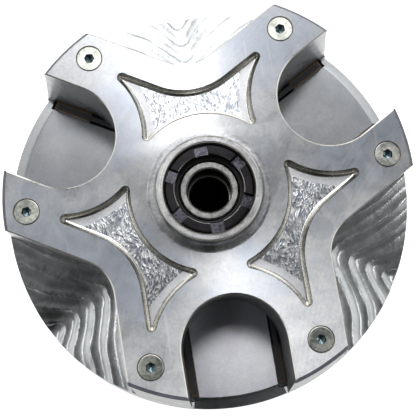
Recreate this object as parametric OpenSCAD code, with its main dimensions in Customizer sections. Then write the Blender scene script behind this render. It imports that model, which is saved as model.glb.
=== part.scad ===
// Drive clutch (primary pulley) of a belt CVT, resting on its engine-side hub.
// +Z runs along the shaft, from the crankshaft end up to the cover.

/* [Sheaves] */
// Outer radius of both sheaves
sheave_r = 105; // [104:0.5:106]
// Radius where the belt cone starts
root_r = 30; // [29:0.5:31]
// Slope of the belt faces, in degrees from flat
belt_angle = 13.5; // [12:0.5:14]
// Height of the fixed sheave's face at its root
fixed_root_z = 34; // [33:1:35]
// Height of the sliding sheave's face at its root, clutch open
slide_root_z = 60; // [60:0.5:61]
// Stroke of the sliding sheave
travel = 22; // [20:1:22]
/* [Drum] */
// Height of the machined decks between each pair of arms
deck_z = 91; // [90:0.5:92]
// Height of the highest terrace in the notches
terrace_z = 101; // [99:1:102]
// Drop from one terrace to the next
terrace_drop = 3.1; // [2.8:0.1:3.2]
// Width of the terrace against the walls
terrace_first_w = 5.7; // [5:0.1:6]
// Width of the other terraces
terrace_w = 8.9; // [8.6:0.1:9]
// Height of the tower tops, where the cover sits
tower_z = 140; // [140:0.5:141]
// Radius of the cover's arm tips
tip_r = 98; // [97:0.5:99]
// Distance of the screws from the axis
screw_circle_r = 86.5; // [86:0.5:87]
// Angle between a screw and the middle of its pair of arms
screw_angle = 27.4; // [27:0.2:28]
/* [Cover] */
// Thickness of the cover plate
plate_t = 8; // [7:0.5:9]
// Half the distance across the outer flanks of a pair of arms
arm_half = 51.5; // [51:0.5:52]
// Rounding at the bottom of each notch
notch_round = 19.5; // [18:0.5:21]
// Radius at the end of each U-slot
u_r = 25; // [24.5:0.5:25]
// Distance of a U-slot's end centre from the axis
u_centre = 74.4; // [74:0.2:75]
// Land left between a pocket and the edge of the plate
pocket_land = 12.75; // [12.5:0.25:13]
// Inner radius of the pockets
pocket_inner_r = 37.5; // [37:0.5:38]
// Corner radius of the pockets
pocket_tip_r = 2.1; // [1.8:0.1:2.3]
// Depth of the pockets
pocket_depth = 4; // [3:0.5:5]
// Outer radius of the raised hub
hub_r = 24.8; // [24.6:0.1:25]
// Height of the hub above the plate
hub_rise = 8.5; // [8:0.5:9]
/* [Shaft] */
// Radius of the journal that the sliding sheave runs on
journal_r = 20; // [19.5:0.25:20]
// Radius of the seat of the spider
spider_seat_r = 17; // [16.5:0.25:17]
// Radius of the outer end of the shaft
nose_r = 14; // [13.75:0.25:14]
// Radius of the bore for the crankshaft bolt
bolt_bore_r = 9.5; // [9:0.5:9.5]
// Radius of the counterbore for the bolt's head
bolt_head_r = 10.3; // [10.2:0.1:10.5]
// Radius of the crankshaft taper at its mouth
taper_r = 15; // [14.5:0.5:15.5]
// Length of the crankshaft taper
taper_len = 50; // [45:1:52]
/* [Flyweights] */
// Distance of the flyweight pivots from the axis
pivot_r = 50; // [50:0.5:50.5]
// Height of the flyweight pivots, clutch open
pivot_z = 79; // [79:0.5:79.5]
// Angle of a flyweight above level, clutch open
weight_rest = 33; // [32:1:34]
// Angle that a flyweight swings through
weight_swing = 45; // [44:1:46]
// Radius of the spider's rollers
roller_r = 7; // [7:0.1:7.1]
// Width of a roller or a flyweight
weight_w = 9.6; // [9:0.2:9.8]
/* [Hidden] */
$fn = 96;
pair_angles = [30, 150, 270];
notch_angles = [90, 210, 330];
eps = 0.01;
out = 60;                    // how far a cut runs on into the open
running = 0.05;              // radial clearance of every running fit
belt_slope = tan(belt_angle);
fixed_rim_z = fixed_root_z - (sheave_r - root_r) * belt_slope;
slide_rim_z = slide_root_z + (sheave_r - root_r) * belt_slope;
rim_t = 4.5;                 // height of the fixed sheave's rim
fixed_hub_r = 33;
rib_w = 6;
rib_inset = 8;               // from the rim to the outer ends of the ribs
bushing_r = journal_r + 2.5;
cavity_z = 72;               // floor of the drum's cavity
cavity_r = 58;
drum_hub_r = 27;
terraces = 5;
drum_hub_z = 84;
rim_bevel = 5.5;             // width and drop of the bevel outside each deck
rim_drop = 4.2;
bite_grow = 5;               // wall left between a U-slot and the cavity
slot_in = 20.5;              // the narrow torque slots beside each deck
slot_start = 49;
slot_end_r = 101;
slot_floor_z = deck_z - 8.5;
ear_t = 2.4;
ear_y = (slot_in + u_r) / 2;
ear_end_r = 97;
ear_end_x = sqrt(ear_end_r * ear_end_r - ear_y * ear_y);
pad_start_r = 76;
pad_t = (u_r - slot_in) / 2 - ear_t / 2 - 0.1;
pad_foot = 2;                // from the slot's floor up to the pads
plate_top = tower_z + plate_t;
tip_chamfer_w = 1.8;
tip_chamfer_h = 2.4;
hub_top = plate_top + hub_rise;
hub_bottom = tower_z - 6;
hub_edge = 0.6;
hub_fillet = 3;
bearing_r = 21;
bearing_liner_r = 17;
nut_bottom = hub_top - 7.5;
nut_top = hub_top - 0.8;
nut_bore_r = 16.2;
nut_edge = 0.4;
nut_slot_w = 6.4;
nut_slot_h = 3;
nut_slot_angle = 33;
seal_z = nut_bottom - 4;
shaft_top = plate_top + 2;
counterbore_z = 131.5;
spider_z = 88;
spider_top = 98;
spider_hub_r = 22;
spider_hub_top = 101;
spider_web_r = 45;
ear_root_r = 30;
fork_root_r = 12;
jam_nut_r = 23;
jam_nut_top = 108;
jam_slot_w = 6;
jam_slot_h = 4;
thread_end_z = 110;
seat_t = 1.5;
seat_out_r = 35;
seat_in_r = 24.4;
spring_z = spider_top + seat_t;
spring_r = 30;
wire_r = 2.25;
spring_turns = 3.6;
fork_gap = 5.2;              // half gap between the cheeks that hold a weight or a roller
cheek_t = 4.8;
pin_r = 3;
bush_r = 4.2;
heel_r = 6;
weight_nose_r = 1.5;
clip_r = 4.6;
clip_t = 0.8;
clip_groove_r = 2.4;
clip_y = fork_gap + cheek_t + 0.6;
roller_gap = 0.15;
roller_z = pivot_z + heel_r + roller_gap + roller_r;
fork_end_r = 55;
csk_r = 6.4;
screw_r = 3;
screw_len = 22;
screw_hole_h = 18;
head_gap = 0.45;
socket_r = 2 / cos(30);
socket_h = 2.8;

function arc(centre, r, from, to, steps) =
    [for (i = [0:steps]) let (a = from + (to - from) * i / steps) centre + r * [cos(a), sin(a)]];
function polar(r, a) = r * [cos(a), sin(a)];
function angle_of(v) = atan2(v[1], v[0]);
function mirrored(pts) = [for (i = [len(pts) - 1:-1:0]) [pts[i][0], -pts[i][1]]];

module at_pairs() for (a = pair_angles) rotate(a) children();
module at_notches() for (a = notch_angles) rotate(a) children();
module ring(outer, inner, bottom, top) rotate_extrude()
    polygon([[inner, bottom], [outer, bottom], [outer, top], [inner, top]]);

// A U-slot, opening along +X, grown outwards by a margin.
module u_slot_2d(grow = 0) polygon(concat(
    arc([u_centre, 0], u_r + grow, 90, 270, 48),
    [[sheave_r + out, -u_r - grow], [sheave_r + out, u_r + grow]]));

// A rounded V-notch, opening along +X, with its walls moved inwards by a margin.
function notch_half(inset) = let (
    r = max(notch_round - inset, 3),
    cx = (arm_half + inset + r) / sin(60))
    arc([cx, 0], r, 180, 150, 12);
module notch_2d(inset = 0) let (
    half = notch_half(inset),
    side = concat(half, [half[len(half) - 1] + polar(sheave_r, 60)]))
    polygon(concat(mirrored(side), side));

// A four-pointed pocket along +X, whose sides follow the notch, the U-slots and the hub.
module pocket_2d() {
    side_r = u_r + pocket_land;
    u_pos = polar(u_centre, 60);
    tip_y = arm_half - pocket_land - pocket_tip_r;
    tip_x = u_centre - sqrt(pow(side_r + pocket_tip_r, 2) - tip_y * tip_y);
    outer_tip = polar(norm([tip_x, tip_y]), 60 - atan2(tip_y, tip_x));
    hub_reach = pocket_inner_r + pocket_tip_r;
    in_x = (u_centre * u_centre + hub_reach * hub_reach - pow(side_r + pocket_tip_r, 2)) / (2 * u_centre);
    inner_tip = polar(hub_reach, 60 - acos(in_x / hub_reach));
    half = concat(
        notch_half(-pocket_land),
        arc(outer_tip, pocket_tip_r, -30, angle_of(u_pos - outer_tip), 10),
        arc(u_pos, side_r, 360 + angle_of(outer_tip - u_pos), 360 + angle_of(inner_tip - u_pos), 18),
        arc(inner_tip, pocket_tip_r, angle_of(u_pos - inner_tip), 360 + angle_of(-inner_tip), 10),
        arc([0, 0], pocket_inner_r, angle_of(inner_tip), 0, 12));
    polygon(concat(half, mirrored(half)));
}

module at_screws() for (a = pair_angles, side = [-1, 1])
    rotate(a + side * screw_angle) translate([screw_circle_r, 0, 0]) children();

// Turns a shape drawn in radius and height into a slab of width w across the notch direction.
module radial_slab(w) rotate([90, 0, 0]) translate([0, 0, -w / 2]) linear_extrude(w) children();

// ---- Pieces that turn with the crankshaft and do not slide ----

module fixed_sheave() color("silver") {
    back_z = fixed_rim_z - rim_t;
    difference() {
        union() {
            rotate_extrude() polygon([[journal_r, 0], [fixed_hub_r, 0], [fixed_hub_r, 14],
                [fixed_hub_r + 5, fixed_root_z - 14], [sheave_r - 6, back_z + 2], [sheave_r - 4, back_z],
                [sheave_r, back_z], [sheave_r, fixed_rim_z], [root_r, fixed_root_z],
                [journal_r, fixed_root_z]]);
            for (i = [0:5]) rotate(60 * i + 30) radial_slab(rib_w)
                polygon([[fixed_hub_r - 2, 3], [fixed_hub_r + 3, 3], [sheave_r - rib_inset, back_z + 1],
                    [sheave_r - rib_inset, back_z + 4], [fixed_hub_r - 2, fixed_root_z - 8]]);
        }
        translate([0, 0, -eps]) cylinder(r = journal_r, h = fixed_root_z + 1);
    }
}

module shaft() color("dimgray") difference() {
    rotate_extrude() polygon([[bolt_bore_r - 1, 0], [journal_r, 0], [journal_r, spider_z],
        [spider_seat_r, spider_z], [spider_seat_r, thread_end_z], [nose_r, thread_end_z],
        [nose_r, shaft_top - 1], [nose_r - 1, shaft_top], [bolt_bore_r - 1, shaft_top]]);
    translate([0, 0, -eps]) cylinder(r1 = taper_r, r2 = taper_r - taper_len / 20, h = taper_len);
    translate([0, 0, taper_len / 2]) cylinder(r = bolt_bore_r, h = shaft_top);
    translate([0, 0, counterbore_z]) cylinder(r = bolt_head_r, h = shaft_top);
}

module spider() color("gray") difference() {
    union() {
        translate([0, 0, spider_z]) linear_extrude(spider_hub_top - spider_z) circle(r = spider_hub_r);
        translate([0, 0, spider_z]) linear_extrude(spider_top - spider_z) difference() {
            circle(r = spider_web_r);
            at_pairs() translate([u_centre, 0]) circle(r = u_r + bite_grow + 0.6);
        }
        at_pairs() for (side = [-1, 1])
            translate([ear_root_r, side * ear_y - ear_t / 2, slot_floor_z + pad_foot])
                cube([ear_end_x - ear_root_r, ear_t, spider_z - slot_floor_z + 4]);
        at_notches() translate([fork_root_r, -fork_gap - cheek_t, spider_z - 1.8])
            cube([fork_end_r - fork_root_r, 2 * (fork_gap + cheek_t), spider_top - spider_z + 2.1]);
    }
    translate([0, 0, spider_z - out / 2]) cylinder(r = spider_seat_r, h = out);
    translate([0, 0, spider_z - out]) cylinder(r = spider_hub_r, h = out);
    ring(seat_out_r + 3, spider_hub_r, spider_top, spider_top + 1);
    at_notches() {
        translate([spider_hub_r + 1.5, -fork_gap, spider_z - out / 2]) cube([out, 2 * fork_gap, out]);
        translate([pivot_r, 0, roller_z]) rotate([90, 0, 0]) cylinder(r = pin_r, h = out, center = true);
    }
}

module spider_jam_nut() color("dimgray") difference() {
    translate([0, 0, spider_hub_top]) cylinder(r = jam_nut_r, h = jam_nut_top - spider_hub_top);
    translate([0, 0, spider_hub_top - 1]) cylinder(r = spider_seat_r, h = out);
    for (a = [0:90:270]) rotate(a) translate([jam_nut_r - 2.5, -jam_slot_w / 2, jam_nut_top - jam_slot_h])
        cube([out, jam_slot_w, out]);
}

module torque_pads() color("saddlebrown") at_pairs() for (side = [-1, 1]) difference() {
    pad_w = ear_t + 2 * pad_t;
    translate([pad_start_r, side * ear_y - pad_w / 2, slot_floor_z + pad_foot])
        cube([ear_end_x - pad_start_r + 1.5, pad_w, spider_z - slot_floor_z + 4]);
    translate([pad_start_r - 1, side * ear_y - ear_t / 2, slot_floor_z])
        cube([ear_end_x - pad_start_r + 1, ear_t, out]);
}

module roller_pin(i) color("silver") rotate(notch_angles[i]) translate([pivot_r, 0, roller_z])
    rotate([90, 0, 0]) cylinder(r = pin_r, h = 2 * (fork_gap + cheek_t), center = true);

module roller(i) color("darkgray") rotate(notch_angles[i]) translate([pivot_r, 0, roller_z])
    rotate([90, 0, 0]) translate([0, 0, -weight_w / 2]) ring(roller_r, bush_r, 0, weight_w);

module roller_bush(i) color("peru") rotate(notch_angles[i]) translate([pivot_r, 0, roller_z])
    rotate([90, 0, 0]) translate([0, 0, -weight_w / 2]) ring(bush_r, pin_r + running, 0, weight_w);

module spring_seat() color("silver") ring(seat_out_r, seat_in_r, spider_top, spring_z);

// Closed-end compression spring: the end turns lie flat and the middle climbs evenly.
function spring_rise(t) = t < 0.75 ? 0.02 * t : t > spring_turns - 0.75
    ? 1 - 0.02 * (spring_turns - t) : 0.015 + 0.97 * (t - 0.75) / (spring_turns - 1.5);
module primary_spring() color("steelblue") {
    sides = 10;
    steps = 100;
    z_low = spring_z + wire_r + 0.05;
    rise = tower_z - spring_z - 2 * wire_r - 0.1;
    rings = [for (i = [0:steps]) let (t = spring_turns * i / steps, a = 360 * t)
        for (j = [0:sides - 1]) let (b = 360 * j / sides, r = spring_r + wire_r * cos(b))
            [r * cos(a), r * sin(a), z_low + rise * spring_rise(t) + wire_r * sin(b)]];
    polyhedron(points = rings, faces = concat(
        [[for (j = [0:sides - 1]) j]],
        [for (i = [0:steps - 1], j = [0:sides - 1]) let (k = (j + 1) % sides)
            [i * sides + j, (i + 1) * sides + j, (i + 1) * sides + k, i * sides + k]],
        [[for (j = [sides - 1:-1:0]) steps * sides + j]]));
}

// ---- Pieces that slide with the movable sheave ----

module lugs_2d() difference() {
    union() {
        translate([pivot_r, pivot_z]) circle(r = heel_r);
        translate([pivot_r - heel_r + 0.5, cavity_z - 1]) square([2 * heel_r - 1, pivot_z - cavity_z + 1]);
    }
    translate([pivot_r, pivot_z]) circle(r = pin_r);
}

module movable_sheave() color("lightgray") difference() {
    union() {
        difference() {
            rotate_extrude() polygon([[bushing_r, slide_root_z], [root_r, slide_root_z],
                [sheave_r, slide_rim_z], [sheave_r, deck_z - 1], [tip_r, tower_z], [bushing_r, tower_z]]);
            translate([0, 0, cavity_z]) linear_extrude(out + tower_z) difference() {
                circle(r = cavity_r);
                at_pairs() translate([u_centre, 0]) circle(r = u_r + bite_grow);
            }
            for (k = [0:terraces - 1]) translate([0, 0, terrace_z - k * terrace_drop]) linear_extrude(out)
                at_notches() notch_2d(k == 0 ? 0 : terrace_first_w + (k - 1) * terrace_w);
            translate([0, 0, deck_z]) linear_extrude(out) at_pairs() u_slot_2d();
            at_pairs() for (side = [-1, 1]) intersection() {
                translate([slot_start, side * ear_y - (u_r - slot_in) / 2, slot_floor_z])
                    cube([out, u_r - slot_in, out]);
                cylinder(r = slot_end_r, h = tower_z + out);
            }
            at_pairs() intersection() {
                rotate_extrude() polygon([
                    [sheave_r - rim_bevel, deck_z + 1], [sheave_r - rim_bevel, deck_z],
                    [sheave_r, deck_z - rim_drop], [sheave_r + 5, deck_z - rim_drop],
                    [sheave_r + 5, deck_z + 1]]);
                translate([u_centre, -u_r, deck_z - out / 2]) cube([out, 2 * u_r, out]);
            }
            at_screws() translate([0, 0, tower_z - screw_hole_h]) cylinder(r = screw_r, h = out);
        }
        ring(drum_hub_r, bushing_r, cavity_z - 1, drum_hub_z);
        at_notches() for (side = [-1, 1]) translate([0, side * (fork_gap + cheek_t / 2), 0])
            radial_slab(cheek_t) lugs_2d();
    }
    translate([0, 0, slide_root_z - 1]) cylinder(r = bushing_r, h = out);
}

module sheave_bushing() color("peru") ring(bushing_r, journal_r + running, slide_root_z, drum_hub_z);

// The working face is where the roller's rim goes as the clutch closes, seen from the flyweight.
function roller_seen(s) = polar(roller_z - pivot_z + s, 90 - weight_rest - weight_swing * s / travel);
function roller_path_angle(s) = angle_of(roller_seen(s + 0.01) - roller_seen(s - 0.01));
module flyweight_2d() {
    reach = roller_r + roller_gap;
    face = [for (i = [0:12]) let (s = travel * i / 12)
        roller_seen(s) + polar(reach, roller_path_angle(s) - 90)];
    start = roller_seen(0);
    hollow = arc(start, reach, angle_of(start) + 180, roller_path_angle(0) + 270, 6);
    nose = face[len(face) - 1];
    difference() {
        polygon(concat(
            arc([0, 0], heel_r, 250, angle_of(start), 20),
            hollow, face,
            arc(nose + polar(weight_nose_r, roller_path_angle(travel) - 90), weight_nose_r,
                roller_path_angle(travel) + 90, roller_path_angle(travel) - 60, 6),
            [[16, -4.5], [8, -6.5]]));
        circle(r = bush_r);
    }
}
module flyweight(i) color("goldenrod") rotate(notch_angles[i]) translate([pivot_r, 0, pivot_z])
    mirror([1, 0, 0]) rotate([90, 0, 0]) rotate(weight_rest) translate([0, 0, -weight_w / 2])
        linear_extrude(weight_w) flyweight_2d();

module flyweight_bush(i) color("peru") rotate(notch_angles[i]) translate([pivot_r, 0, pivot_z])
    rotate([90, 0, 0]) translate([0, 0, -weight_w / 2]) ring(bush_r, pin_r + running, 0, weight_w);

module flyweight_pin(i) color("silver") rotate(notch_angles[i]) translate([pivot_r, 0, pivot_z])
    rotate([90, 0, 0]) difference() {
        cylinder(r = pin_r, h = 2 * (fork_gap + cheek_t) + 3, center = true);
        for (side = [-1, 1]) translate([0, 0, side * clip_y]) ring(clip_r + 1, clip_groove_r, -0.5, 0.5);
    }

module pin_clips() color("black") at_notches() for (side = [-1, 1])
    translate([pivot_r, side * clip_y, pivot_z]) rotate([90, 0, 0]) difference() {
        ring(clip_r, clip_groove_r + running, -clip_t / 2, clip_t / 2);
        translate([-clip_groove_r / 2, -clip_r - 1, -clip_t])
            cube([clip_groove_r, clip_r + 1, 2 * clip_t]);
    }

module cover_plate() color("gainsboro") difference() {
    union() {
        difference() {
            translate([0, 0, tower_z]) rotate_extrude() polygon([[0, 0], [tip_r, 0],
                [tip_r, plate_t - tip_chamfer_h], [tip_r - tip_chamfer_w, plate_t], [0, plate_t]]);
            translate([0, 0, tower_z - 1]) linear_extrude(plate_t + 2) {
                at_pairs() u_slot_2d();
                at_notches() notch_2d();
            }
            translate([0, 0, plate_top - pocket_depth]) linear_extrude(pocket_depth + 1)
                at_notches() pocket_2d();
        }
        rotate_extrude() polygon(concat(
            [[bearing_r - 1, hub_bottom], [hub_r - hub_edge, hub_bottom], [hub_r, hub_bottom + hub_edge],
                [hub_r, tower_z + 1], [hub_r + hub_fillet, tower_z + 1]],
            arc([hub_r + hub_fillet, plate_top + hub_fillet], hub_fillet, 270, 180, 6),
            [[hub_r, hub_top - hub_edge], [hub_r - hub_edge, hub_top], [bearing_r - 1, hub_top]]));
    }
    translate([0, 0, hub_bottom - 1]) cylinder(r = bearing_r, h = out);
    translate([0, 0, hub_top - 0.9]) cylinder(r1 = bearing_r, r2 = bearing_r + 1, h = 1);
    at_screws() {
        translate([0, 0, tower_z - 1]) cylinder(r = screw_r + 0.2, h = out);
        translate([0, 0, plate_top - csk_r + screw_r])
            cylinder(r1 = screw_r, r2 = csk_r + 1, h = csk_r - screw_r + 1);
    }
}

module cover_screws() color("khaki") at_screws() translate([0, 0, plate_top]) difference() {
    rotate_extrude() polygon([[0, -screw_len], [screw_r - 0.55, -screw_len],
        [screw_r - 0.05, 0.5 - screw_len], [screw_r - 0.05, screw_r - csk_r + 0.1], [csk_r - head_gap, -0.38], [csk_r - head_gap, -0.2],
        [csk_r - 0.7, -0.1], [0, -0.1]]);
    translate([0, 0, -socket_h]) cylinder(r = socket_r, h = out, $fn = 6);
}

module cover_bearing_shell() color("gray") ring(bearing_r, bearing_liner_r, hub_bottom + 0.5, nut_bottom);
module cover_bearing_liner() color("peru")
    ring(bearing_liner_r, nose_r + running, hub_bottom + 0.5, seal_z);

module shaft_seal() color("black") rotate_extrude() polygon([
    [nose_r + 0.1, seal_z], [bearing_liner_r, seal_z], [bearing_liner_r, nut_bottom],
    [nose_r + 1.2, nut_bottom], [nose_r + 0.1, nut_bottom - 1.4]]);

module bearing_lock_nut() color("darkslategray") difference() {
    rotate_extrude() polygon([[nut_bore_r, nut_bottom], [bearing_r, nut_bottom],
        [bearing_r, nut_top - nut_edge], [bearing_r - nut_edge, nut_top],
        [nut_bore_r + nut_edge, nut_top], [nut_bore_r, nut_top - nut_edge]]);
    for (i = [0:5]) rotate(60 * i + nut_slot_angle)
        translate([nut_bore_r - 2, -nut_slot_w / 2, nut_top - nut_slot_h]) cube([out, nut_slot_w, out]);
}

fixed_sheave();
shaft();
spider();
spider_jam_nut();
torque_pads();
roller_pin(0);  // roller_pin_1
roller_pin(1);  // roller_pin_2
roller_pin(2);  // roller_pin_3
roller(0);  // roller_1
roller(1);  // roller_2
roller(2);  // roller_3
roller_bush(0);  // roller_bush_1
roller_bush(1);  // roller_bush_2
roller_bush(2);  // roller_bush_3
spring_seat();
primary_spring();
movable_sheave();
sheave_bushing();
flyweight(0);  // flyweight_1
flyweight(1);  // flyweight_2
flyweight(2);  // flyweight_3
flyweight_bush(0);  // flyweight_bush_1
flyweight_bush(1);  // flyweight_bush_2
flyweight_bush(2);  // flyweight_bush_3
flyweight_pin(0);  // flyweight_pin_1
flyweight_pin(1);  // flyweight_pin_2
flyweight_pin(2);  // flyweight_pin_3
pin_clips();
cover_plate();
cover_screws();
cover_bearing_shell();
cover_bearing_liner();
shaft_seal();
bearing_lock_nut();
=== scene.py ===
"""Looks of the CVT drive clutch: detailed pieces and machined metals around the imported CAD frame.

Shapes are drawn in millimetres in the part's own frame and scaled to metres when a piece is made.
"""

import bpy
import bmesh
import math
from mathutils import Matrix, Vector, noise
from mathutils.geometry import delaunay_2d_cdt


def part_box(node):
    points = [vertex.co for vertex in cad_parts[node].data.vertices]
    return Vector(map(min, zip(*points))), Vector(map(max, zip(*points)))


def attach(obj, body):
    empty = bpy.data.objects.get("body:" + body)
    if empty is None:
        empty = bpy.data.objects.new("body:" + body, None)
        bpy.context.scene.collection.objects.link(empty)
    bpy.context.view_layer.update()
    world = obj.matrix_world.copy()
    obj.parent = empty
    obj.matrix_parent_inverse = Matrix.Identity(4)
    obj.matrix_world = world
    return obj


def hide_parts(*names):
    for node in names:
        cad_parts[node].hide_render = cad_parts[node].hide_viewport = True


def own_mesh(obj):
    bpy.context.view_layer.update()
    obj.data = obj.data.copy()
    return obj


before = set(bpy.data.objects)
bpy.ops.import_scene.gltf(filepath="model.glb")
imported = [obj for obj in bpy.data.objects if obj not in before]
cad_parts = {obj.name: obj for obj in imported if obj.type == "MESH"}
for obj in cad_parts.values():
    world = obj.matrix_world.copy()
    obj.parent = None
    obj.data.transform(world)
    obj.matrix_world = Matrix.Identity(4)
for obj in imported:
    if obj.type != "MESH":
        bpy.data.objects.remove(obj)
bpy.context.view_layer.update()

MM = 0.001
# Directions of the U-slots, each between a pair of arms, and of the notches, in degrees
PAIRS = (30, 150, 270)
NOTCHES = (90, 210, 330)
THIRDS = (1, 2, 3)
# How far the part is turned about its axis in the picture
YAW = math.radians(-9.28)


def top_of(node):
    """Height of a CAD node's highest point, in millimetres."""
    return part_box(node)[1][2] / MM


def reach_of(node):
    """Largest X of a CAD node, in millimetres."""
    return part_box(node)[1][0] / MM


# ---- Driving sizes, in millimetres ----

# From the CAD
SHEAVE_R = reach_of("fixed_sheave")
FIXED_ROOT_Z = top_of("fixed_sheave")
TOWER_Z = top_of("movable_sheave")
HUB_TOP = top_of("cover_plate")
SHAFT_TOP = top_of("shaft")
NUT_TOP = top_of("bearing_lock_nut")
# Cover and sheave cones
PLATE_T = 8
PLATE_TOP = TOWER_Z + PLATE_T
TIP_R = 98
ROOT_R = 30
SLIDE_ROOT_Z = 60
BELT_SLOPE = math.tan(math.radians(13.5))
SLIDE_RIM_Z = SLIDE_ROOT_Z + (SHEAVE_R - ROOT_R) * BELT_SLOPE
FIXED_RIM_Z = FIXED_ROOT_Z - (SHEAVE_R - ROOT_R) * BELT_SLOPE
# Drum: decks, outer flare, cavity and flyweight pivots
DECK_Z = 91
FLARE_Z = DECK_Z - 1
CAVITY_Z = 72
CAVITY_R = 58
PIVOT_R = 50
PIVOT_Z = 79
# Arms, notches (between arms) and U-slots (with a torque slot on each side)
ARM_HALF = 51.5
NOTCH_ROUND = 19.5
NOTCH_CX = (ARM_HALF + NOTCH_ROUND) / math.sin(math.radians(60))
U_R = 25
U_CENTRE = 74.4
SLOT_IN = 20.5
SLOT_END_R = 101
SLOT_FLOOR_Z = DECK_Z - 8.5
SLOT_START = 58.5
EAR_HALF = 22.75
CUT_TOP_Z = TOWER_Z + 20
BOSS_R = 27
BOSS_TOP_Z = 84
# Pockets and screws
POCKET_LAND = 12.75
POCKET_INNER_R = 37.5
POCKET_TIP_R = 2.1
POCKET_DEPTH = 4
SCREW_CIRCLE_R = 86.5
SCREW_ANGLE = 27.4
CSK_R = 6.4
# Hub, ring nut and shaft
HUB_R = 24.8
HUB_FILLET_R = 4.6
BEARING_R = 21
HUB_BOTTOM = TOWER_Z - 6
NUT_BOTTOM = HUB_TOP - 7.5
NUT_BORE_R = 16.2
JOURNAL_R = 20
NOSE_R = 14
BOLT_R = 9.5
BOLT_HEAD_R = 10.3
COUNTERBORE_Z = 131.5
# Terraces of the notch floors
TERRACE_Z = 101
TERRACE_DROP = 3.1
TERRACE_FIRST_W = 5.7
TERRACE_W = 8.9
LAST_TERRACE = 3
LAYER_STEP = 0.55


# ---- Outlines, as lists of (x, y) ----

def polar(r, degrees):
    """The point at this radius and angle."""
    return Vector((r * math.cos(math.radians(degrees)), r * math.sin(math.radians(degrees))))


def angle_of(v):
    """The direction of a vector, in degrees."""
    return math.degrees(math.atan2(v[1], v[0]))


def arc(centre, r, start, end, steps):
    """Points on a circle, both ends included."""
    return [Vector(centre) + polar(r, start + (end - start) * i / steps) for i in range(steps + 1)]


def line(a, b, steps):
    """Points from a towards b, without b."""
    return [Vector(a).lerp(Vector(b), i / steps) for i in range(steps)]


def turned(points, degrees):
    """Points turned about the axis."""
    rotation = Matrix.Rotation(math.radians(degrees), 2)
    return [rotation @ Vector(p) for p in points]


def mirrored(points):
    """Points mirrored in the X axis, in reverse order."""
    return [Vector((p[0], -p[1])) for p in reversed(points)]


def notch_reach(half):
    """Distance from the axis at which two notch walls would meet, each this far from its arm's middle."""
    return half / math.sin(math.radians(60))


def on_view(x, y, z):
    """A place given along the picture's right, the picture's up and Z."""
    return Matrix.Rotation(YAW, 4, "Z") @ Vector((x, y, z))


def on_circle(r, y):
    """The point of a circle about the axis that has this Y, on the +X side."""
    return Vector((math.sqrt(r * r - y * y), y))


def star_outline(tip_r, margin):
    """The six-armed outline of the cover, its arms shrunk by margin, with the same count of points for any size."""
    half_arm, slot = ARM_HALF - margin, U_R + margin
    notch = arc((NOTCH_CX, 0), NOTCH_ROUND + margin, 180, 150, 14)
    notch_in_pair = turned(notch, -60)
    start_tip, end_tip = on_circle(tip_r, -half_arm), on_circle(tip_r, -slot)
    side = line(notch_in_pair[-1], start_tip, 6)[1:]
    tip = arc((0, 0), tip_r, angle_of(start_tip), angle_of(end_tip), 10)
    slot_side = line(end_tip, (U_CENTRE, -slot), 5)[1:]
    slot_end = arc((U_CENTRE, 0), slot, 270, 180, 20)
    half = notch_in_pair + side + tip + slot_side + slot_end
    sector = half + mirrored(half[:-1])[:-1]
    return [p for a in PAIRS for p in turned(sector, a)]


def u_outline():
    """A U-slot along +X, open past the rim."""
    reach = SHEAVE_R + 12
    return arc((U_CENTRE, 0), U_R, 90, 270, 40) + [Vector((reach, -U_R)), Vector((reach, U_R))]


def pocket_outline(inset):
    """A four-pointed pocket along +X, with its walls moved inwards by inset."""
    side_r, tip_r = U_R + POCKET_LAND + inset, max(POCKET_TIP_R - inset, 0.15)
    u_pos = polar(U_CENTRE, 60)
    tip_y = ARM_HALF - POCKET_LAND - inset - tip_r
    tip_x = U_CENTRE - math.sqrt((side_r + tip_r) ** 2 - tip_y ** 2)
    outer_tip = polar(math.hypot(tip_x, tip_y), 60 - angle_of((tip_x, tip_y)))
    hub_reach = POCKET_INNER_R + inset + tip_r
    in_x = (U_CENTRE ** 2 + hub_reach ** 2 - (side_r + tip_r) ** 2) / (2 * U_CENTRE)
    inner_tip = polar(hub_reach, 60 - math.degrees(math.acos(in_x / hub_reach)))
    notch = arc((NOTCH_CX, 0), NOTCH_ROUND + POCKET_LAND + inset, 180, 150, 16)
    outer = arc(outer_tip, tip_r, -30, angle_of(u_pos - outer_tip), 8)
    side = arc(u_pos, side_r, 360 + angle_of(outer_tip - u_pos), 360 + angle_of(inner_tip - u_pos), 22)
    inner = arc(inner_tip, tip_r, angle_of(u_pos - inner_tip), 360 + angle_of(-inner_tip), 8)
    hub = arc((0, 0), POCKET_INNER_R + inset, angle_of(inner_tip), 0, 12)
    straight = line(notch[-1], outer[0], 6)[1:]
    half = notch + straight + outer + side[1:-1] + inner + hub[1:]
    return half + mirrored(half[1:-1])


def milled_outline(inset, blunt):
    """The part of a pocket floor that shows the cutter's marks: it stops short of the tips."""
    points = pocket_outline(inset)
    middle = Vector(((POCKET_INNER_R + NOTCH_CX - NOTCH_ROUND - POCKET_LAND) / 2, 0))
    reach = [(p - middle).length for p in points]
    near, far = min(reach), max(reach)
    return [middle + (p - middle) * (1 - blunt * ((r - near) / (far - near)) ** 1.5) for p, r in zip(points, reach)]


def flat(points, z):
    """An outline at one height."""
    return [(p[0], p[1], z) for p in points]


# ---- Surfaces built ring by ring ----

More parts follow.
